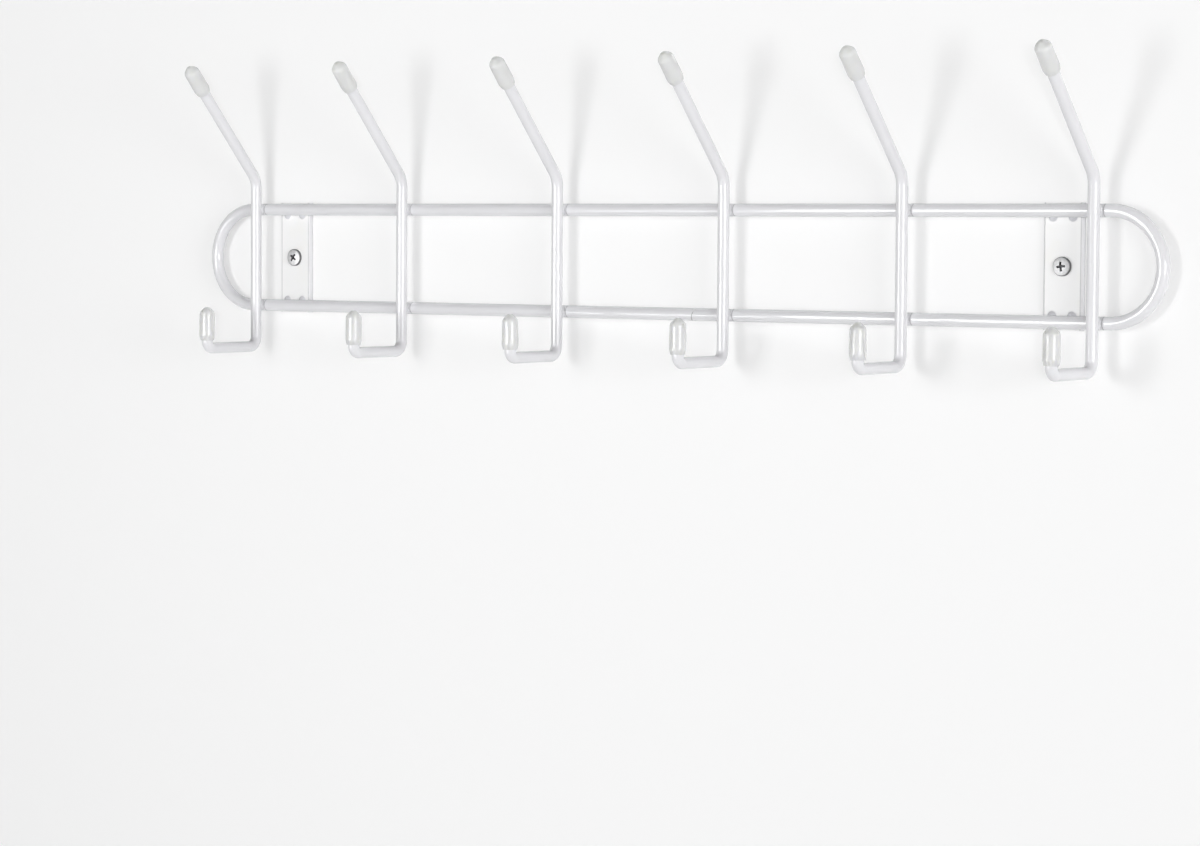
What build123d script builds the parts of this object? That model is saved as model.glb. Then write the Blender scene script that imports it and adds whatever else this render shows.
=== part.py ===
# Wall coat rack bent and welded from coated steel wire.
#
# A closed rail loop carries six double hooks on its front. Two folded sheet plates behind the loop
# hold it off the wall, each with one pan head screw, and plastic caps are pushed on the hook ends.
#
# Frame: the origin is on the wall, midway between the two screws. +X runs along the wall to the
# viewer's right, +Y into the wall and +Z up, so everything in front of the wall has a negative Y.
# All sizes are in millimetres.

import os
from math import atan2, cos, hypot, sin

from build123d import *

# Wire stock
rail_wire = 5.4
hook_wire = 5.0
weld_set_down = 0.4  # how far the hook wire sinks into the rail where they are welded

# Rail loop
rail_pitch = 44.5  # axis of the upper rail to axis of the lower rail
end_margin = 5.75  # outermost hook to the start of the loop's round end
seam_offset = 26.2  # butt seam that closes the loop, to the right of its middle
seam_proud = 0.12
seam_bead = 0.5  # radius of the seam's bead

# Hooks
hook_count = 6
hook_pitch = 86.5
bend_above_rail = 13.6  # upper rail's axis up to the corner where the arm leans out
arm_forward = 46.7  # from that corner to the cap's tip
arm_rise = 50.3
arm_bend = 9.0  # bend radii are on the wire's axis
leg_below_rail = 19.4  # lower rail's axis down to the axis of the lower leg
leg_forward = 34.2
rear_bend = 4.8
front_bend = 3.4

# Caps on the hook ends
cap_length = 15.2
cap_wall = 1.1
cap_end = 3.2  # solid plastic past the end of the wire
cap_taper = 0.12  # how much smaller the sleeve's radius is at the shoulder than at the lip
cap_shoulder = 2.4  # tip down to the corner where the sleeve turns into the tip's cone
cap_nose = 1.1  # radius where that cone would meet the flat end
shoulder_round = 2.5
nose_round = 1.5
lip_wall = 0.55  # wall that is left at the mouth
lip_length = 2.2  # how far the sleeve narrows towards the mouth
lip_round = 0.25
lip_bend = 3.0  # where that narrowing starts
cap_clear = 0.2  # mouth of a lower cap to the start of the bend below it

# Mounting plates
plate_inset = 17.25  # outermost hook to the plate's middle
plate_width = 17.5
plate_depth = 2.5  # wall to the plate's face
plate_sheet = 0.8
plate_fold = 0.9  # outer radius of the folds
plate_overlap = 3.2  # how far the plate runs past each rail's axis
rail_gap = 0.2  # plate's face to the back of the rail, between the weld bumps

# Weld bumps pressed out of the plates' faces
bump_spacing = 8.8
bump_inset = 2.4  # rail's axis to the bump's middle
bump_radius = 2.5  # where its foot runs out on the face
bump_height = 1.2
bump_crown = 0.7  # share of the radius that is the crown, inside the hollow curve of the foot
hollow_radius = 1.4  # the press's mark on the back of the sheet
hollow_depth = 0.9

# Wall screws
screw_hole = 4.8
head_diameter = 7.8
head_side = 1.2
head_height = 1.8
head_edge = 0.5
neck_diameter = 3.1
thread_diameter = 4.2
thread_start = 0.2  # back of the plate's sheet to the first thread
screw_length = 30.0  # under the head
point_length = 5.0
recess_width = 1.0
recess_span = 4.0
recess_depth = 1.3
recess_taper = 12.0
left_turn = 55.0  # where each cross recess stopped when its screw was tight
right_turn = 6.0

# Places that several pieces share
rail_r = rail_wire / 2
hook_r = hook_wire / 2
upper_z = rail_pitch / 2
lower_z = -rail_pitch / 2
rail_out = plate_depth + rail_gap + rail_r  # wall to the rails' axis
hook_out = rail_out + rail_r + hook_r - weld_set_down  # wall to the uprights' axis
outer_hook_x = (hook_count - 1) / 2 * hook_pitch
hook_places = [number * hook_pitch - outer_hook_x for number in range(hook_count)]
end_x = outer_hook_x + end_margin
plate_x = outer_hook_x - plate_inset

os.makedirs("parts", exist_ok=True)

# Rail loop: one wire bent to a long ring and closed by a butt seam in the lower rail
with BuildPart() as rail_loop:
    with BuildLine(Plane.XZ.offset(rail_out)) as loop_axis:
        top = Line((-end_x, upper_z), (end_x, upper_z))
        right_end = RadiusArc(top @ 1, (end_x, lower_z), upper_z)
        bottom = Line(right_end @ 1, (-end_x, lower_z))
        left_end = RadiusArc(bottom @ 1, top @ 0, upper_z)
    with BuildSketch(Plane(origin=top @ 0, z_dir=top % 0)):
        Circle(rail_r)
    sweep(path=loop_axis.wires()[0])
    with Locations(Plane(origin=(seam_offset, -rail_out, lower_z), z_dir=(1, 0, 0))):
        Torus(rail_r + seam_proud - seam_bead, seam_bead)
rail_loop.part.label = "rail_loop"
export_step(rail_loop.part, "parts/rail_loop.step")

# Corners and ends of a hook's wire, seen along the wall
arm_length = hypot(arm_forward, arm_rise)
arm_lean = atan2(arm_forward, arm_rise)
bend_z = upper_z + bend_above_rail
leg_z = lower_z - leg_below_rail
front_y = -hook_out - leg_forward
cap_grip = cap_length - cap_end  # how much of the wire is inside a cap
arm_end_y = -hook_out - (arm_length - cap_end) * sin(arm_lean)
arm_end_z = bend_z + (arm_length - cap_end) * cos(arm_lean)
front_end_z = leg_z + front_bend + cap_clear + cap_grip

# Hooks: arm, upright, lower leg and upturned front in one wire, with a weld saddle on each rail
for number, hook_x in enumerate(hook_places, start=1):
    with BuildPart() as hook:
        with BuildLine(Plane.YZ.offset(hook_x)) as hook_axis:
            route = FilletPolyline(
                (arm_end_y, arm_end_z),
                (-hook_out, bend_z),
                (-hook_out, leg_z),
                (front_y, leg_z),
                (front_y, front_end_z),
                radius=[arm_bend, rear_bend, front_bend],
            )
        with BuildSketch(Plane(origin=route @ 0, z_dir=route % 0)):
            Circle(hook_r)
        sweep(path=hook_axis.wires()[0])
        add(rail_loop.part, mode=Mode.SUBTRACT)
    hook.part.label = f"hook_{number}"
    export_step(hook.part, f"parts/hook_{number}.step")


def make_cap(wire_end, direction, label):
    """One push-on cap: a blind sleeve with a bullet shaped tip, turned about the end of its wire."""
    sleeve_r = hook_r + cap_wall
    along_wire = Plane(origin=wire_end, x_dir=(1, 0, 0), z_dir=Vector(1, 0, 0).cross(direction))
    with BuildPart() as cap:
        with BuildSketch(along_wire):
            with BuildLine():
                FilletPolyline(
                    (hook_r, -cap_grip),
                    (hook_r + lip_wall, -cap_grip),
                    (sleeve_r, lip_length - cap_grip),
                    (sleeve_r - cap_taper, cap_end - cap_shoulder),
                    (cap_nose, cap_end),
                    (0, cap_end),
                    radius=[lip_round, lip_bend, shoulder_round, nose_round],
                )
                Polyline((0, cap_end), (0, 0), (hook_r, 0), (hook_r, -cap_grip))
            make_face()
        revolve(axis=Axis(wire_end, direction))
    cap.part.label = label
    export_step(cap.part, f"parts/{label}.step")


# Caps: the same moulding on the arm and on the upturned front of every hook
arm_direction = Vector(0, -sin(arm_lean), cos(arm_lean))
for number, hook_x in enumerate(hook_places, start=1):
    make_cap(Vector(hook_x, arm_end_y, arm_end_z), arm_direction, f"upper_cap_{number}")
    make_cap(Vector(hook_x, front_y, front_end_z), Vector(0, 0, 1), f"lower_cap_{number}")

# Weld bump, standing along +Z on the plate's face, rooted in the sheet
with BuildPart() as bump:
    with BuildSketch(Plane.XZ):
        with BuildLine():
            crown_edge = (bump_radius * bump_crown, bump_height * (1 - bump_crown))
            crown = TangentArc((0, bump_height), crown_edge, tangent=(1, 0))
            foot = TangentArc(crown_edge, (bump_radius, 0), tangent=crown % 1)
            root = -plate_sheet / 2
            Polyline((bump_radius, 0), (bump_radius, root), (0, root), (0, bump_height))
        make_face()
    revolve(axis=Axis.Z)

# Mark of the press behind each bump, sunk along +Z from the sheet's back
with BuildPart() as hollow:
    with BuildSketch(Plane.XZ):
        with BuildLine():
            TangentArc((0, hollow_depth), (hollow_radius, 0), tangent=(1, 0))
            Polyline((hollow_radius, 0), (0, 0), (0, hollow_depth))
        make_face()
    revolve(axis=Axis.Z)

# Mounting plates: a strip folded to a shallow channel, its bumps hollowed to the rails they carry
plate_top = upper_z + plate_overlap
bump_z = upper_z - bump_inset
half = plate_width / 2
half_inside = half - plate_sheet
sheet_back = plate_depth - plate_sheet  # wall to the back of the sheet
for label, plate_middle in (("left_mounting_plate", -plate_x), ("right_mounting_plate", plate_x)):
    face = Plane(origin=(plate_middle, -plate_depth, 0), x_dir=(1, 0, 0), z_dir=(0, -1, 0))
    with BuildPart() as plate:
        with BuildSketch(Plane((plate_middle, 0, -plate_top))):
            with BuildLine():
                outside = FilletPolyline(
                    (-half, 0), (-half, -plate_depth), (half, -plate_depth), (half, 0), radius=plate_fold
                )
                inside = FilletPolyline(
                    (half_inside, 0),
                    (half_inside, -sheet_back),
                    (-half_inside, -sheet_back),
                    (-half_inside, 0),
                    radius=plate_fold - plate_sheet,
                )
                Line(outside @ 1, inside @ 0)
                Line(inside @ 1, outside @ 0)
            make_face()
        extrude(amount=2 * plate_top)
        with Locations(face):
            Hole(screw_hole / 2, depth=plate_sheet)
            with GridLocations(bump_spacing, 2 * bump_z, 2, 2):
                add(bump.part)
        with Locations(face.offset(-plate_sheet)):
            with GridLocations(bump_spacing, 2 * bump_z, 2, 2):
                add(hollow.part, mode=Mode.SUBTRACT)
        add(rail_loop.part, mode=Mode.SUBTRACT)
    plate.part.label = label
    export_step(plate.part, f"parts/{label}.step")

# One pan head screw along +Z, with the underside of its head at the origin
with BuildPart() as screw:
    with BuildSketch(Plane.XZ) as screw_outline:
        with BuildLine():
            head_r = head_diameter / 2
            neck_r = neck_diameter / 2
            thread_r = thread_diameter / 2
            first_thread = -plate_sheet - thread_start
            TangentArc((0, head_height), (head_r, head_side), tangent=(1, 0))
            Polyline(
                (head_r, head_side),
                (head_r, 0),
                (neck_r, 0),
                (neck_r, first_thread),
                (thread_r, first_thread),
                (thread_r, point_length - screw_length),
                (0, -screw_length),
                (0, head_height),
            )
        make_face()
        fillet(screw_outline.vertices().group_by(Axis.X)[-1].sort_by(Axis.Y)[-1], head_edge)
    revolve(axis=Axis.Z)
    with BuildSketch(Plane.XY.offset(head_height)):
        Rectangle(recess_span, recess_width)
        Rectangle(recess_width, recess_span)
    extrude(amount=-recess_depth, taper=recess_taper, mode=Mode.SUBTRACT)

# Wall screws: one through each plate, driven until the head sits on the face
with BuildPart() as wall_screws:
    for screw_x, turn in ((-plate_x, left_turn), (plate_x, right_turn)):
        seat = Plane(origin=(screw_x, -plate_depth, 0), x_dir=(1, 0, 0), z_dir=(0, -1, 0))
        with Locations(seat):
            add(screw.part, rotation=(0, 0, turn))
wall_screws.part.label = "wall_screws"
export_step(wall_screws.part, "parts/wall_screws.step")
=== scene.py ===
from math import pi, radians

import bmesh
import bpy
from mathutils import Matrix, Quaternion, Vector


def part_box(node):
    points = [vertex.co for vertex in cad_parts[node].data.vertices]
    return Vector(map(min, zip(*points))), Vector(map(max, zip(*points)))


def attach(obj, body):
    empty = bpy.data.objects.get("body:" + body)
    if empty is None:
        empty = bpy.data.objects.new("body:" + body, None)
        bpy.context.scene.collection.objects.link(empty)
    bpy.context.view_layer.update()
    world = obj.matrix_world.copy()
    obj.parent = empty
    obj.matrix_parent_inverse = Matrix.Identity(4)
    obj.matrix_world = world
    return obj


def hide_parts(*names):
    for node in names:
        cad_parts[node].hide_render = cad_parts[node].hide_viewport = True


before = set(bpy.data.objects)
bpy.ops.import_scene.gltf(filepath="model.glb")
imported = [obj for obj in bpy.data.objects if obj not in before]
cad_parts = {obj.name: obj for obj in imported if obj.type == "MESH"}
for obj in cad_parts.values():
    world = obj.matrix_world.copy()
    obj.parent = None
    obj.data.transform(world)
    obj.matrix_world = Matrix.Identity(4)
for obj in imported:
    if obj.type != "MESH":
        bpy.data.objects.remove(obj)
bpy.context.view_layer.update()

# Rail loop
# One ring of 5.4 mm steel wire, bent cold and closed by a butt seam in its lower run. It is coated white
# together with the hooks and plates. The baked coating keeps a faint orange peel and a lavender cast. Fine
# grey lines of painted shadow lie on the front beside each hook weld, where an upright's shadow edge falls
# on the rail.
mm = 0.001
rail_radius = 2.7 * mm
loop_low, loop_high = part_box("rail_loop")
rail_y = (loop_low.y + loop_high.y) / 2
upper_rail_z = loop_high.z - rail_radius
hook_pitch = 86.5 * mm
wire_tint = (0.76, 0.76, 0.78, 1.0)
wire_mottle = 0.05
wire_roughness = 0.06
wire_peel = 0.0035 * mm
seam_tint = (0.28, 0.28, 0.27, 1.0)
seam_x = 26.2 * mm
seam_slope = 0.35
seam_edge = (0.1 * mm, 0.2 * mm)
seam_top = (-21.6 * mm, -20.6 * mm)
seam_depth = 12.0
# Painted shadow: grey lines on the rails' front beside each hook, where an upright's shadow edge falls.
painted_shade_line_tint = (0.42, 0.42, 0.43, 1.0)
rail_shadow_line_strength = 0.85
shadow_line_beside_hook = 3.1 * mm
shadow_line_edge = (0.1 * mm, 0.3 * mm)
shadow_line_back = (rail_y - 0.3 * mm, rail_y + 0.7 * mm)


def place(tree, kind, sockets=(), **settings):
    """Puts one node in a tree. Each socket takes a plain value or the output of another node."""
    node = tree.nodes.new(kind)
    for name, value in settings.items():
        setattr(node, name, value)
    for key, value in dict(sockets).items():
        if isinstance(value, bpy.types.NodeSocket):
            tree.links.new(value, node.inputs[key])
        else:
            node.inputs[key].default_value = value
    return node


def reckon(tree, operation, first, second=0.0, third=0.0):
    """One step of arithmetic in a tree, as the socket that carries its result."""
    return place(tree, "ShaderNodeMath", {0: first, 1: second, 2: third}, operation=operation).outputs[0]


def apart(tree, first, second):
    """How far two values lie apart."""
    return reckon(tree, "ABSOLUTE", reckon(tree, "SUBTRACT", first, second))


def clouds(tree, spot, scale, detail):
    """A cloudy pattern, its scale in clouds to the metre."""
    sockets = {"Vector": spot, "Scale": scale, "Detail": detail}
    return place(tree, "ShaderNodeTexNoise", sockets).outputs["Fac"]


def fade(tree, value, span, first, last, interpolation="LINEAR"):
    """A mask that goes from its first to its last strength as a value crosses a span."""
    sockets = {"Value": value, "From Min": span[0], "From Max": span[1], "To Min": first, "To Max": last}
    return place(tree, "ShaderNodeMapRange", sockets, interpolation_type=interpolation).outputs["Result"]


def tint_over(tree, mask, under, over):
    """One colour laid over another where a mask is strong."""
    return place(tree, "ShaderNodeMix", {0: mask, 6: under, 7: over}, data_type="RGBA").outputs[2]


def add_sockets(tree, in_out, sockets):
    """Names the inputs or outputs of a node group."""
    for name, kind in sockets:
        tree.interface.new_socket(name, in_out=in_out, socket_type="NodeSocket" + kind)


mottle_scale, flow_scale, peel_scale = 70.0, 260.0, 850.0
flow_roughness = 0.05
flow_height = 0.8
coated_skin = bpy.data.node_groups.new("coated skin", "ShaderNodeTree")
add_sockets(coated_skin, "INPUT", (("Tint", "Color"), ("Mottle", "Float"), ("Roughness", "Float")))
add_sockets(coated_skin, "OUTPUT", (("Colour", "Color"), ("Roughness", "Float"), ("Height", "Float")))
given = place(coated_skin, "NodeGroupInput").outputs
spot = place(coated_skin, "ShaderNodeTexCoord").outputs["Object"]
mottle_swing = reckon(coated_skin, "SUBTRACT", clouds(coated_skin, spot, mottle_scale, detail=3.0), 0.5)
level = reckon(coated_skin, "MULTIPLY_ADD", mottle_swing, given["Mottle"], 1.0)
colour = place(coated_skin, "ShaderNodeVectorMath", {0: given["Tint"], "Scale": level}, operation="SCALE")
flow = clouds(coated_skin, spot, flow_scale, detail=2.0)
flow_swing = reckon(coated_skin, "SUBTRACT", flow, 0.5)
peel = clouds(coated_skin, spot, peel_scale, detail=1.0)
place(
    coated_skin,
    "NodeGroupOutput",
    {
        "Colour": colour.outputs[0],
        "Roughness": reckon(coated_skin, "MULTIPLY_ADD", flow_swing, flow_roughness, given["Roughness"]),
        "Height": reckon(coated_skin, "MULTIPLY_ADD", flow, flow_height, peel),
    },
)


def new_finish(name):
    """A new material with its tree, and a point's place on the rack, whole and as its X, Y and Z."""
    finish = bpy.data.materials.new(name)
    finish.use_nodes = True
    tree = finish.node_tree
    spot = place(tree, "ShaderNodeTexCoord").outputs["Object"]
    return finish, tree, spot, place(tree, "ShaderNodeSeparateXYZ", {0: spot}).outputs


def coat(tree, tint, mottle, roughness):
    """The coated skin in a material, with its own tint."""
    sockets = {"Tint": tint, "Mottle": mottle, "Roughness": roughness}
    return place(tree, "ShaderNodeGroup", sockets, node_tree=coated_skin).outputs


def surface(tree, tint, roughness, relief, strength, depth):
    """Joins colour, roughness and relief to a material's shader."""
    shader = tree.nodes["Principled BSDF"]
    bump = place(tree, "ShaderNodeBump", {"Height": relief, "Strength": strength, "Distance": depth})
    tree.links.new(tint, shader.inputs["Base Color"])
    tree.links.new(roughness, shader.inputs["Roughness"])
    tree.links.new(bump.outputs["Normal"], shader.inputs["Normal"])
    return shader


wire_coating, tree, spot, xyz = new_finish("white wire coating")
skin = coat(tree, wire_tint, wire_mottle, wire_roughness)
slant = reckon(tree, "MULTIPLY_ADD", xyz["Z"], seam_slope, seam_x + upper_rail_z * seam_slope)
crack = fade(tree, apart(tree, xyz["X"], slant), seam_edge, 1.0, 0.0)
crack = reckon(tree, "MULTIPLY", crack, fade(tree, xyz["Z"], seam_top, 1.0, 0.0))
tint = tint_over(tree, crack, skin["Colour"], seam_tint)
# Painted shadow lines on both sides of each hook, on the front of the rails only.
shifted = reckon(tree, "ADD", xyz["X"], hook_pitch / 2)
from_hook = reckon(tree, "ABSOLUTE", reckon(tree, "WRAP", shifted, hook_pitch / 2, -hook_pitch / 2))
from_shadow_line = apart(tree, from_hook, shadow_line_beside_hook)
rail_shadow_line = fade(tree, from_shadow_line, shadow_line_edge, rail_shadow_line_strength, 0.0)
rail_shadow_line = reckon(tree, "MULTIPLY", rail_shadow_line, fade(tree, xyz["Y"], shadow_line_back, 1.0, 0.0))
tint = tint_over(tree, rail_shadow_line, tint, painted_shade_line_tint)
relief = reckon(tree, "MULTIPLY_ADD", crack, -seam_depth, skin["Height"])
shader = surface(tree, tint, skin["Roughness"], relief, strength=0.5, depth=wire_peel)
shader.inputs["IOR"].default_value = 1.52


def dress(node, finish):
    """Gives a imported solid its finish."""
    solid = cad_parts[node]
    if not solid.material_slots:
        solid.data.materials.append(finish)
    for slot in solid.material_slots:
        slot.material = finish


dress("rail_loop", wire_coating)

# Mounting plates
# Two strips of sheet steel, folded to shallow channels, with pressed bumps that carry the rails. Their
# coating is thinner than the wire's, so the rolled sheet shows faint upright lines and a warmer white. The
# bumps and folded flanks are greyed with painted shade, fine grey lines of painted shade run along the
# folds, and a painted contact shadow runs along their feet against the wall.
plate_nodes = ("left_mounting_plate", "right_mounting_plate")
plate_low, plate_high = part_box("right_mounting_plate")
plate_x = (plate_low.x + plate_high.x) / 2
plate_tint = (0.88, 0.88, 0.88, 1.0)
plate_mottle = 0.03
plate_peel = 0.015 * mm
thin_tint = (0.87, 0.865, 0.835, 1.0)
thin_scale = 95.0
thin_span = (0.5, 0.72)
thin_strength = 0.6
# Painted shade for the pressed bumps and the folded flanks.
bump_and_flank_shade_tint = (0.66, 0.66, 0.69, 1.0)
bump_face = (-2.53 * mm, -2.75 * mm)
face_roughness = 0.5
bump_roughness = 0.12
fold_line = 8.0 * mm
fold_edge = (0.12 * mm, 0.3 * mm)
flank_edge = (fold_line, fold_line + 0.3 * mm)
flank_shade_strength = 0.6
foot_edge = (-0.6 * mm, -0.2 * mm)
# Strength of the painted shade lines along the folds and the painted contact shadow at the feet.
plate_shade_line_strength = 0.6
rolled_scale = (2600.0, 2600.0, 30.0)
rolled_height = 0.5

plate_coating, tree, spot, xyz = new_finish("thin plate coating")
drift = clouds(tree, spot, thin_scale, detail=2.0)
thin = fade(tree, drift, thin_span, 0.0, thin_strength)
tint = tint_over(tree, thin, plate_tint, thin_tint)
# The pressed bumps get painted shade here and are also glossier; the flanks get painted shade.
pressed = fade(tree, xyz["Y"], bump_face, 0.0, 1.0)
from_middle = apart(tree, reckon(tree, "ABSOLUTE", xyz["X"]), plate_x)
flank = fade(tree, from_middle, flank_edge, 0.0, flank_shade_strength)
tint = tint_over(tree, reckon(tree, "MAXIMUM", pressed, flank), tint, bump_and_flank_shade_tint)
# Painted shade lines along the folds, and a painted contact shadow along the feet against the wall.
fold = fade(tree, apart(tree, from_middle, fold_line), fold_edge, plate_shade_line_strength, 0.0)
foot = fade(tree, xyz["Y"], foot_edge, 0.0, plate_shade_line_strength)
tint = tint_over(tree, reckon(tree, "MAXIMUM", fold, foot), tint, painted_shade_line_tint)
roughness = reckon(tree, "MULTIPLY_ADD", pressed, bump_roughness - face_roughness, face_roughness)
skin = coat(tree, tint, plate_mottle, roughness)
stretched = place(tree, "ShaderNodeMapping", {"Vector": spot, "Scale": rolled_scale}).outputs["Vector"]
rolled = clouds(tree, stretched, 1.0, detail=1.0)
relief = reckon(tree, "MULTIPLY_ADD", rolled, rolled_height, skin["Height"])
surface(tree, skin["Colour"], skin["Roughness"], relief, strength=0.6, depth=plate_peel)
for node in plate_nodes:
    dress(node, plate_coating)

# Plate welds
# Each pressed bump is spot welded to the back of its rail. The squeezed metal stands out along the joint
# as a short uneven bead, and the coating runs over it.
bump_half_spacing = 4.4 * mm
bead_below_axis = 2.25 * mm
bead_behind_axis = 1.7 * mm
bead_sizes = {"Half length": 1.5 * mm, "Radius": 0.36 * mm}
bead_lumps = 900.0
bead_uneven = 0.25 * mm
bead_seed = 3.0


def growth_tree(name, sizes):
    """A tree that grows a piece, with its sizes as named inputs, and the sockets that carry them."""
    tree = bpy.data.node_groups.new(name, "GeometryNodeTree")
    add_sockets(tree, "INPUT", (("Geometry", "Geometry"), *sizes))
    add_sockets(tree, "OUTPUT", (("Geometry", "Geometry"),))
    return tree, place(tree, "NodeGroupInput").outputs


def copies_on(tree, points, piece):
    """Real copies of a piece, one on each point."""
    copies = place(tree, "GeometryNodeInstanceOnPoints", {"Points": points, "Instance": piece}).outputs[0]
    return place(tree, "GeometryNodeRealizeInstances", {"Geometry": copies}).outputs[0]


def roughen(tree, geometry, scale, amount, seed):
    """Pushes the surface of welded metal in and out along its normal, differently at every weld."""
    sockets = {"W": seed, "Scale": scale, "Detail": 2.0}
    noise = place(tree, "ShaderNodeTexNoise", sockets, noise_dimensions="4D").outputs["Fac"]
    push = reckon(tree, "MULTIPLY", reckon(tree, "SUBTRACT", noise, 0.5), amount)
    normal = place(tree, "GeometryNodeInputNormal").outputs[0]
    offset = place(tree, "ShaderNodeVectorMath", {0: normal, "Scale": push}, operation="SCALE").outputs[0]
    return place(tree, "GeometryNodeSetPosition", {"Geometry": geometry, "Offset": offset}).outputs[0]


def end_tree(tree, geometry, finish):
    """Smooth shading, the finish and the output, as every grown piece ends."""
    smooth = place(tree, "GeometryNodeSetShadeSmooth", {"Geometry": geometry}).outputs[0]
    painted = place(tree, "GeometryNodeSetMaterial", {"Geometry": smooth, "Material": finish}).outputs[0]
    place(tree, "NodeGroupOutput", {"Geometry": painted})


def points_mesh(name, places):
    """A mesh of loose points, one where each copy of a piece goes."""
    mesh = bpy.data.meshes.new(name)
    mesh.from_pydata(places, [], [])
    return mesh


def grow(name, start, tree, sizes):
    """Runs a tree on a starting mesh and keeps the result as a plain mesh piece at the origin."""
    piece = bpy.data.objects.new(name, start)
    bpy.context.scene.collection.objects.link(piece)
    growth = piece.modifiers.new("growth", "NODES")
    growth.node_group = tree
    for item in tree.interface.items_tree:
        if item.in_out == "INPUT" and item.name in sizes:
            growth[item.identifier] = sizes[item.name]
    grown = piece.evaluated_get(bpy.context.evaluated_depsgraph_get())
    plain = bpy.data.meshes.new_from_object(grown)
    piece.modifiers.remove(growth)
    piece.data = plain
    return piece


tree, given = growth_tree("plate weld beads", (("Half length", "Float"), ("Radius", "Float")))
lump_sizes = {"Segments": 18, "Rings": 12, "Radius": 1.0}
lump = place(tree, "GeometryNodeMeshUVSphere", lump_sizes).outputs["Mesh"]
bead_scale = {"X": given["Half length"], "Y": given["Radius"], "Z": given["Radius"]}
stretch = place(tree, "ShaderNodeCombineXYZ", bead_scale).outputs[0]
bead = place(tree, "GeometryNodeTransform", {"Geometry": lump, "Scale": stretch}).outputs[0]
beads = copies_on(tree, given["Geometry"], bead)
end_tree(tree, roughen(tree, beads, bead_lumps, bead_uneven, bead_seed), wire_coating)

bead_places = []
for node in plate_nodes:
    low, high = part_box(node)
    for side in (-1, 1):
        bead_x = (low.x + high.x) / 2 + side * bump_half_spacing
        for end in (-1, 1):
            bead_z = end * (upper_rail_z - bead_below_axis)
            bead_places.append((bead_x, rail_y + bead_behind_axis, bead_z))
plate_welds = grow("plate_welds", points_mesh("plate weld places", bead_places), tree, bead_sizes)
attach(plate_welds, "root")

# Hooks
# Six hooks of 5 mm wire, each bent in one piece: an arm that leans out, an upright across both rails, a
# lower leg and an upturned front. They have the same white coating as the rail loop.
hook_radius = 2.5 * mm
hook_nodes = [f"hook_{number}" for number in range(1, 7)]
for node in hook_nodes:
    dress(node, wire_coating)

# Hook welds
# Every upright is resistance welded to both rails, and sinks a little into them. A collar of squeezed
# metal and pooled coating fills the narrow gap round each joint.
rail_front = rail_y - rail_radius
collar_sizes = {
    "Hook radius": hook_radius,
    "Rail radius": rail_radius,
    "Sink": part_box("hook_1")[1].y - rail_front,
    "Reach": 2.3 * mm,
    "Thickness": 0.65 * mm,
}
collar_lumps = 700.0
collar_uneven = 0.12 * mm
collar_seed = 7.0

tree, given = growth_tree("hook weld collars", [(size, "Float") for size in collar_sizes])


def fall_of_wire(tree, radius, distance):
    """How far a round wire's surface has fallen back at a distance from its crest."""
    radius_squared = reckon(tree, "MULTIPLY", radius, radius)
    distance_squared = reckon(tree, "MULTIPLY", distance, distance)
    left_over = reckon(tree, "SQRT", reckon(tree, "SUBTRACT", radius_squared, distance_squared))
    return reckon(tree, "SUBTRACT", radius, left_over)


def circle(tree, points, radius):
    """A round curve, as a path or as the section of a bead."""
    sockets = {"Resolution": points, "Radius": radius}
    return place(tree, "GeometryNodeCurvePrimitiveCircle", sockets).outputs["Curve"]


round_place = place(tree, "GeometryNodeInputPosition").outputs[0]
turn = place(tree, "ShaderNodeSeparateXYZ", {0: round_place}).outputs
across = reckon(tree, "MULTIPLY", turn["X"], given["Reach"])
along = reckon(tree, "MULTIPLY", turn["Y"], given["Reach"])
hook_fall = fall_of_wire(tree, given["Hook radius"], across)
hook_surface = reckon(tree, "SUBTRACT", given["Sink"], hook_fall)
rail_surface = fall_of_wire(tree, given["Rail radius"], along)
between = reckon(tree, "MULTIPLY", reckon(tree, "ADD", hook_surface, rail_surface), 0.5)
saddle = place(tree, "ShaderNodeCombineXYZ", {"X": across, "Y": between, "Z": along}).outputs[0]
ring = circle(tree, 40, 1.0)
path = place(tree, "GeometryNodeSetPosition", {"Geometry": ring, "Position": saddle}).outputs[0]
section = circle(tree, 14, given["Thickness"])
collar = place(tree, "GeometryNodeCurveToMesh", {"Curve": path, "Profile Curve": section}).outputs[0]
collars = copies_on(tree, given["Geometry"], collar)
end_tree(tree, roughen(tree, collars, collar_lumps, collar_uneven, collar_seed), wire_coating)

collar_places = []
for node in hook_nodes:
    low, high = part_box(node)
    for rail_z in (upper_rail_z, -upper_rail_z):
        collar_places.append(((low.x + high.x) / 2, rail_front, rail_z))
hook_welds = grow("hook_welds", points_mesh("hook weld places", collar_places), tree, collar_sizes)
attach(hook_welds, "root")

# Tip caps
# Twelve caps moulded in milky soft plastic and pushed over the wire ends. Each has a fine parting line
# down its front and back, and a small round gate mark on its tip, where the plastic is solid and greyer.
sleeve_tint = (0.715, 0.72, 0.712, 1.0)
tip_tint = (0.675, 0.683, 0.673, 1.0)
upper_low, upper_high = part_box("upper_cap_1")
lower_low, lower_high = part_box("lower_cap_1")
cap_x = (upper_low.x + upper_high.x) / 2
upper_tip = Vector((0.0, -56.9 * mm, 86.15 * mm))
lower_tip = Vector((0.0, (lower_low.y + lower_high.y) / 2, lower_high.z))
tip_span = (1.0 * mm, 5.0 * mm)
gate_edge = (0.45 * mm, 0.6 * mm)
parting_edge = (0.04 * mm, 0.13 * mm)
milk_scale = 180.0
milk_swing = 0.35
cap_roughness = 0.14
cap_clouding = 0.1
grain_scale = 2400.0
grain_height = 0.07
cap_relief = 0.05 * mm
milk_depth = 2.5 * mm

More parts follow.
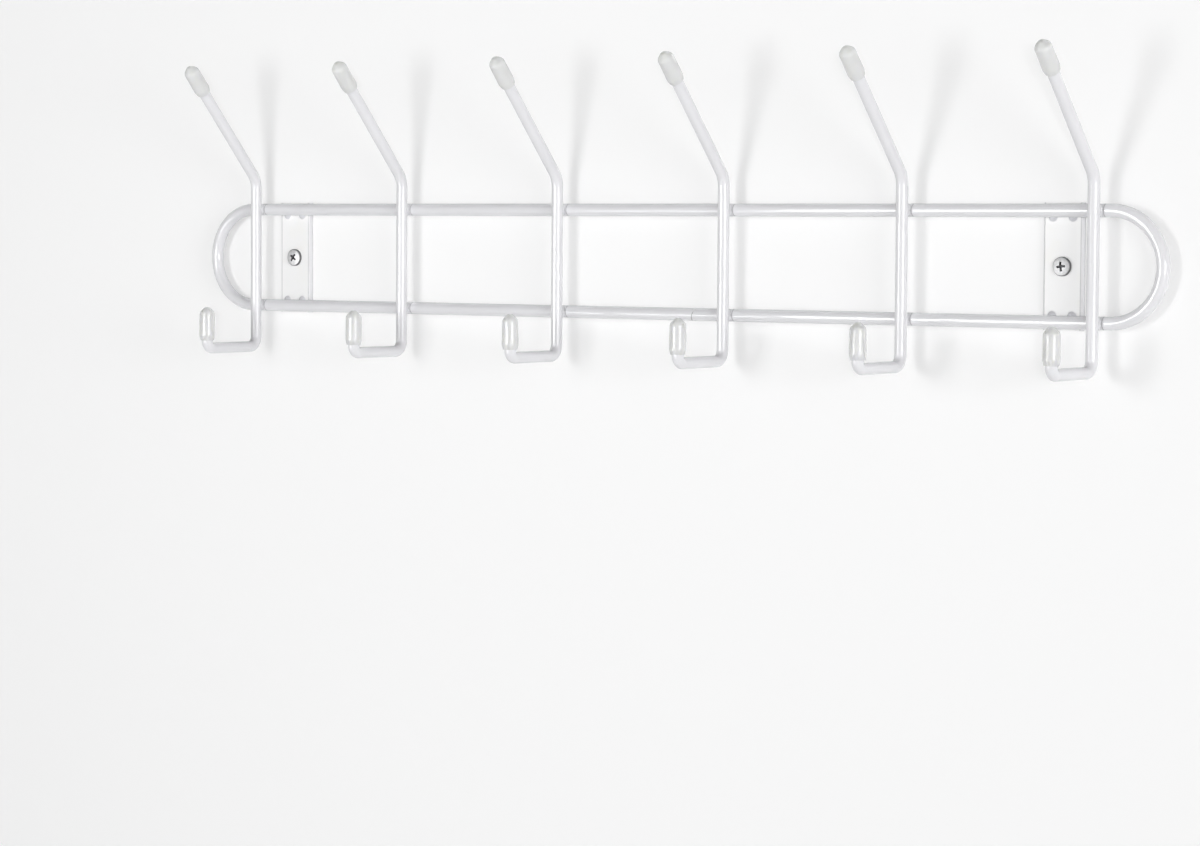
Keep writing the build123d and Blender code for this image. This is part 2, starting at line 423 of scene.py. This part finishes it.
cap_plastic, tree, spot, xyz = new_finish("milky cap plastic")
from_first = reckon(tree, "SUBTRACT", xyz["X"], cap_x)
beside = reckon(tree, "WRAP", from_first, hook_pitch / 2, -hook_pitch / 2)
own = place(tree, "ShaderNodeCombineXYZ", {"X": beside, "Y": xyz["Y"], "Z": xyz["Z"]}).outputs[0]
tip_gaps = [
    place(tree, "ShaderNodeVectorMath", {0: own, 1: tip}, operation="DISTANCE").outputs["Value"]
    for tip in (upper_tip, lower_tip)
]
from_tip = reckon(tree, "MINIMUM", tip_gaps[0], tip_gaps[1])
solid_tip = fade(tree, from_tip, tip_span, 1.0, 0.0, "SMOOTHSTEP")
cloud = clouds(tree, spot, milk_scale, detail=2.0)
milk = reckon(tree, "MULTIPLY_ADD", reckon(tree, "SUBTRACT", cloud, 0.5), milk_swing, solid_tip)
tint = tint_over(tree, milk, sleeve_tint, tip_tint)
parting = fade(tree, reckon(tree, "ABSOLUTE", beside), parting_edge, 1.0, 0.0)
gate = fade(tree, from_tip, gate_edge, 1.0, 0.0)
marks = reckon(tree, "SUBTRACT", parting, gate)
grain = clouds(tree, spot, grain_scale, detail=1.0)
relief = reckon(tree, "MULTIPLY_ADD", grain, grain_height, marks)
roughness = reckon(tree, "MULTIPLY_ADD", cloud, cap_clouding, cap_roughness)
shader = surface(tree, tint, roughness, relief, strength=0.7, depth=cap_relief)
shader.inputs["IOR"].default_value = 1.5
shader.inputs["Subsurface Weight"].default_value = 0.8
shader.inputs["Subsurface Radius"].default_value = (1.0, 1.0, 0.9)
shader.inputs["Subsurface Scale"].default_value = milk_depth
for number in range(1, 7):
    dress(f"upper_cap_{number}", cap_plastic)
    dress(f"lower_cap_{number}", cap_plastic)

# Wall screws
# Two zinc plated pan head screws, 4.2 by 30, with a cross recess and a coarse sheet metal thread. They
# pass through the plates' holes, and the wall holds the thread.
thread_sizes = {
    "Core radius": 1.5 * mm,
    "Ridge": 0.42 * mm,
    "Pitch": 1.4 * mm,
    "Straight": 25.0 * mm,
    "Point": 4.8 * mm,
}
point_radius = 0.15 * mm
ridge_out = 0.4
head_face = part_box("wall_screws")[0].y
under_head = -2.5 * mm
shank_start = under_head - 0.2 * mm
head_cut = under_head + 0.05 * mm
head_merge = 0.001 * mm
head_sharp = radians(32)
zinc_dark = (0.36, 0.36, 0.37, 1.0)
zinc_bright = (0.76, 0.76, 0.76, 1.0)
zinc_scale = 800.0
zinc_roughness = 0.44
zinc_clouding = 0.24
zinc_relief = 0.015 * mm
# Painted shade: a dark ring round the rim of each head.
rim_shade_tint = (0.15, 0.15, 0.155, 1.0)
rim_edge = (3.45 * mm, 3.8 * mm)
rim_shade_strength = 0.8
# Painted shade for the inside of the cross recess.
recess_shade_tint = (0.09, 0.09, 0.095, 1.0)
recess_edge = (2.0 * mm, 2.3 * mm)
recess_top = (head_face + 0.25 * mm, head_face + 1.0 * mm)
recess_floor = (head_face + 1.4 * mm, head_face + 1.5 * mm)
turning_pitch = 0.16 * mm
turning_height = 0.25

zinc, tree, spot, xyz = new_finish("zinc plated steel")
beside = reckon(tree, "SUBTRACT", reckon(tree, "ABSOLUTE", xyz["X"]), plate_x)
flat = place(tree, "ShaderNodeCombineXYZ", {"X": beside, "Y": 0.0, "Z": xyz["Z"]}).outputs[0]
from_axis = place(tree, "ShaderNodeVectorMath", {0: flat}, operation="LENGTH").outputs["Value"]
cloud = clouds(tree, spot, zinc_scale, detail=3.0)
tint = tint_over(tree, cloud, zinc_dark, zinc_bright)
# Painted shade darkens the rim of each head.
tint = tint_over(tree, fade(tree, from_axis, rim_edge, 0.0, rim_shade_strength), tint, rim_shade_tint)
# Painted shade: the cross recess is darkened inside, where shade falls.
sunk = fade(tree, xyz["Y"], recess_top, 0.0, 1.0)
above_floor = fade(tree, xyz["Y"], recess_floor, 1.0, 0.0)
inside = fade(tree, from_axis, recess_edge, 1.0, 0.0)
recess = reckon(tree, "MULTIPLY", inside, reckon(tree, "MULTIPLY", sunk, above_floor))
tint = tint_over(tree, recess, tint, recess_shade_tint)
rings = reckon(tree, "SINE", reckon(tree, "MULTIPLY", from_axis, 2 * pi / turning_pitch))
relief = reckon(tree, "MULTIPLY_ADD", rings, turning_height, cloud)
roughness = reckon(tree, "MULTIPLY_ADD", cloud, zinc_clouding, zinc_roughness)
shader = surface(tree, tint, roughness, relief, strength=0.5, depth=zinc_relief)
shader.inputs["Metallic"].default_value = 1.0

thread_inputs = [("First screw", "Vector"), ("Spacing", "Vector")]
thread_inputs += [(size, "Float") for size in thread_sizes]
tree, given = growth_tree("screw threads", thread_inputs)


def join(tree, *parts):
    """Puts parts of the screws together."""
    joined = place(tree, "GeometryNodeJoinGeometry")
    for part in parts:
        tree.links.new(part, joined.inputs[0])
    return joined.outputs[0]


def shank_run(tree, given, length, end_radius, start):
    """A run of the screw's core with the thread round it, tapering to an end radius along +Z."""
    core_sizes = {
        "Vertices": 32,
        "Radius Top": end_radius,
        "Radius Bottom": given["Core radius"],
        "Depth": length,
    }
    core = place(tree, "GeometryNodeMeshCone", core_sizes).outputs["Mesh"]
    helix_sizes = {
        "Resolution": 28,
        "Rotations": reckon(tree, "DIVIDE", length, given["Pitch"]),
        "Start Radius": reckon(tree, "MULTIPLY_ADD", given["Ridge"], ridge_out, given["Core radius"]),
        "End Radius": reckon(tree, "MULTIPLY_ADD", given["Ridge"], ridge_out, end_radius),
        "Height": length,
        "Reverse": True,
    }
    helix = place(tree, "GeometryNodeCurveSpiral", helix_sizes).outputs["Curve"]
    steady = place(tree, "GeometryNodeSetCurveNormal", {"Curve": helix}, mode="Z_UP").outputs[0]
    sweep = {"Curve": steady, "Profile Curve": circle(tree, 3, given["Ridge"]), "Fill Caps": True}
    ridge = place(tree, "GeometryNodeCurveToMesh", sweep).outputs[0]
    lift = place(tree, "ShaderNodeCombineXYZ", {"Z": start}).outputs[0]
    raised = {"Geometry": join(tree, core, ridge), "Translation": lift}
    return place(tree, "GeometryNodeTransform", raised).outputs[0]


straight_run = shank_run(tree, given, given["Straight"], given["Core radius"], 0.0)
point_run = shank_run(tree, given, given["Point"], point_radius, given["Straight"])
laid = {"Geometry": join(tree, straight_run, point_run), "Rotation": (-pi / 2, 0.0, 0.0)}
shank = place(tree, "GeometryNodeTransform", laid).outputs[0]
pair = {"Count": 2, "Start Location": given["First screw"], "Offset": given["Spacing"]}
shank_places = place(tree, "GeometryNodeMeshLine", pair).outputs["Mesh"]
shanks = copies_on(tree, shank_places, shank)
end_tree(tree, join(tree, given["Geometry"], shanks), zinc)

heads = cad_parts["wall_screws"].data.copy()
head_work = bmesh.new()
head_work.from_mesh(heads)
bmesh.ops.remove_doubles(head_work, verts=head_work.verts, dist=head_merge)
behind = [vert for vert in head_work.verts if vert.co.y > head_cut]
bmesh.ops.delete(head_work, geom=behind, context="VERTS")
open_rims = [edge for edge in head_work.edges if edge.is_boundary]
bmesh.ops.holes_fill(head_work, edges=open_rims, sides=0)
head_work.to_mesh(heads)
head_work.free()
if "custom_normal" in heads.attributes:
    heads.attributes.remove(heads.attributes["custom_normal"])
thread_sizes["First screw"] = (-plate_x, shank_start, 0.0)
thread_sizes["Spacing"] = (2 * plate_x, 0.0, 0.0)
screws = grow("threaded_wall_screws", heads, tree, thread_sizes)
screws.data.set_sharp_from_angle(angle=head_sharp)
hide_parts("wall_screws")
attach(screws, "root")

# Wall and floor
# A plain white wall that the plates are screwed to, and a pale floor well below. Neither is part of the
# rack. Both are white to look at and keep the rack's shadow. The wall is clear when seen from behind, and
# open behind each plate, where the plate hides it, so that light reaches the plates' backs.
studio = bpy.context.scene
wall_gap = 0.05 * mm
wall_half_width = 3.0
wall_top = 2.0
wall_colour = (0.93, 0.93, 0.93, 1.0)
wall_own_white = 0.4
opening_side_margin = 0.12 * mm
opening_end_margin = 0.6 * mm
opening_half_width = plate_high.x - plate_x - opening_side_margin
opening_half_height = plate_high.z - opening_end_margin
floor_z = -1.6
floor_front = -5.0
floor_colour = (0.9, 0.9, 0.9, 1.0)
floor_own_white = 0.6
pure_white = (1.0, 1.0, 1.0, 1.0)


def backdrop(name, corners, faces, colour, own_white):
    """A flat one sided sheet of the studio, part of its white its own and part from the lamps."""
    mesh = bpy.data.meshes.new(name)
    mesh.from_pydata(corners, [], faces)
    sheet = bpy.data.objects.new(name, mesh)
    studio.collection.objects.link(sheet)
    paint = bpy.data.materials.new(name + " paint")
    paint.use_nodes = True
    tree = paint.node_tree
    tree.nodes.clear()
    matt = place(tree, "ShaderNodeBsdfDiffuse", {"Color": colour}).outputs[0]
    white = place(tree, "ShaderNodeEmission", {"Color": pure_white, "Strength": 1.0}).outputs[0]
    rays = place(tree, "ShaderNodeLightPath").outputs
    seen = reckon(tree, "MAXIMUM", rays["Is Camera Ray"], rays["Is Glossy Ray"])
    seen = reckon(tree, "MAXIMUM", seen, rays["Is Transmission Ray"])
    share = reckon(tree, "MULTIPLY", seen, own_white)
    front = place(tree, "ShaderNodeMixShader", {0: share, 1: matt, 2: white}).outputs[0]
    clear = place(tree, "ShaderNodeBsdfTransparent").outputs[0]
    back = place(tree, "ShaderNodeNewGeometry").outputs["Backfacing"]
    either = place(tree, "ShaderNodeMixShader", {0: back, 1: front, 2: clear}).outputs[0]
    place(tree, "ShaderNodeOutputMaterial", {"Surface": either})
    mesh.materials.append(paint)
    return sheet


columns = [-wall_half_width]
for middle in (-plate_x, plate_x):
    columns += [middle - opening_half_width, middle + opening_half_width]
columns.append(wall_half_width)
rows = (floor_z, -opening_half_height, opening_half_height, wall_top)
opening_row = 1
opening_columns = (1, 3)
wall_corners = [(x, wall_gap, z) for z in rows for x in columns]
wall_faces = []
for row in range(len(rows) - 1):
    for column in range(len(columns) - 1):
        if row == opening_row and column in opening_columns:
            continue
        first = row * len(columns) + column
        above_it = first + len(columns)
        wall_faces.append((first, first + 1, above_it + 1, above_it))
backdrop("white wall", wall_corners, wall_faces, wall_colour, wall_own_white)
floor_corners = [
    (-wall_half_width, floor_front, floor_z),
    (wall_half_width, floor_front, floor_z),
    (wall_half_width, wall_gap, floor_z),
    (-wall_half_width, wall_gap, floor_z),
]
floor = backdrop("pale floor", floor_corners, [(0, 1, 2, 3)], floor_colour, floor_own_white)
floor.visible_diffuse = False
floor.visible_glossy = False
floor.visible_shadow = False

# Studio light
# Soft boxes left and right and a lamp behind the camera light the rack, and one behind the wall lights the
# plates' backs. White cards, left and low, show in the gloss alone, as stripes along the wires. A soft sky,
# brightest level with the rack and dark above, keeps the upper edges of the wires grey.
sky_rise = (-0.6, 0.0)
sky_below, sky_level = 0.41, 0.68
sky_fall = (0.05, 0.55)
sky_loss = 0.65


def soft_box(name, place_at, width, height, radiance, hidden_from=None):
    """An area lamp that faces the rack, and may stay out of its gloss or light its gloss alone."""
    lamp = bpy.data.lights.new(name, "AREA")
    lamp.shape = "RECTANGLE"
    lamp.size = width
    lamp.size_y = height
    lamp.energy = radiance * pi * width * height
    box = bpy.data.objects.new(name, lamp)
    box.location = place_at
    box.rotation_euler = (-Vector(place_at)).to_track_quat("-Z", "Y").to_euler()
    box.visible_camera = False
    if hidden_from:
        setattr(box, "visible_" + hidden_from, False)
    studio.collection.objects.link(box)


soft_box("left soft box", (-0.18, -1.0, 0.03), 0.25, 0.3, 15.6, hidden_from="glossy")
soft_box("left white card", (-0.32, -1.0, 0.0), 0.4, 0.28, 14.0, hidden_from="diffuse")
soft_box("right soft box", (1.9, -0.95, 0.0), 0.9, 0.55, 10.5)
soft_box("low white card", (-0.52, -1.0, -0.34), 0.45, 0.2, 10.0, hidden_from="diffuse")
soft_box("front lamp", (1.65, -2.4, 0.02), 0.12, 0.12, 200.0, hidden_from="glossy")
soft_box("rear soft box", (0.0, 1.3, 0.5), 0.9, 0.9, 2.5)
studio.world = bpy.data.worlds.new("soft sky")
studio.world.use_nodes = True
tree = studio.world.node_tree
tree.nodes.clear()
toward = place(tree, "ShaderNodeTexCoord").outputs["Generated"]
steepness = place(tree, "ShaderNodeSeparateXYZ", {0: toward}).outputs["Z"]
from_below = fade(tree, steepness, sky_rise, sky_below, sky_level, "SMOOTHSTEP")
above = fade(tree, steepness, sky_fall, 0.0, sky_loss, "SMOOTHSTEP")
bright = reckon(tree, "SUBTRACT", from_below, above)
sky = place(tree, "ShaderNodeBackground", {"Color": pure_white, "Strength": bright}).outputs[0]
place(tree, "ShaderNodeOutputWorld", {"Surface": sky})
studio.view_settings.view_transform = "Standard"

# Camera
# It stands to the right of the rack, level with it, and looks down a little to the left.
camera_place = Vector((0.81382, -1.20316, 0.01142))
camera_aim = Vector((-0.02759, 0.001, -0.07099))
camera_roll = 0.00628
view = bpy.data.cameras.new("camera")
view.sensor_fit = "HORIZONTAL"
view.sensor_width = 36.0
view.lens = 100.6
camera = bpy.data.objects.new("camera", view)
camera.location = camera_place
camera.rotation_mode = "QUATERNION"
level_look = (camera_aim - camera_place).to_track_quat("-Z", "Y")
camera.rotation_quaternion = level_look @ Quaternion((0.0, 0.0, 1.0), camera_roll)
studio.collection.objects.link(camera)
studio.camera = camera
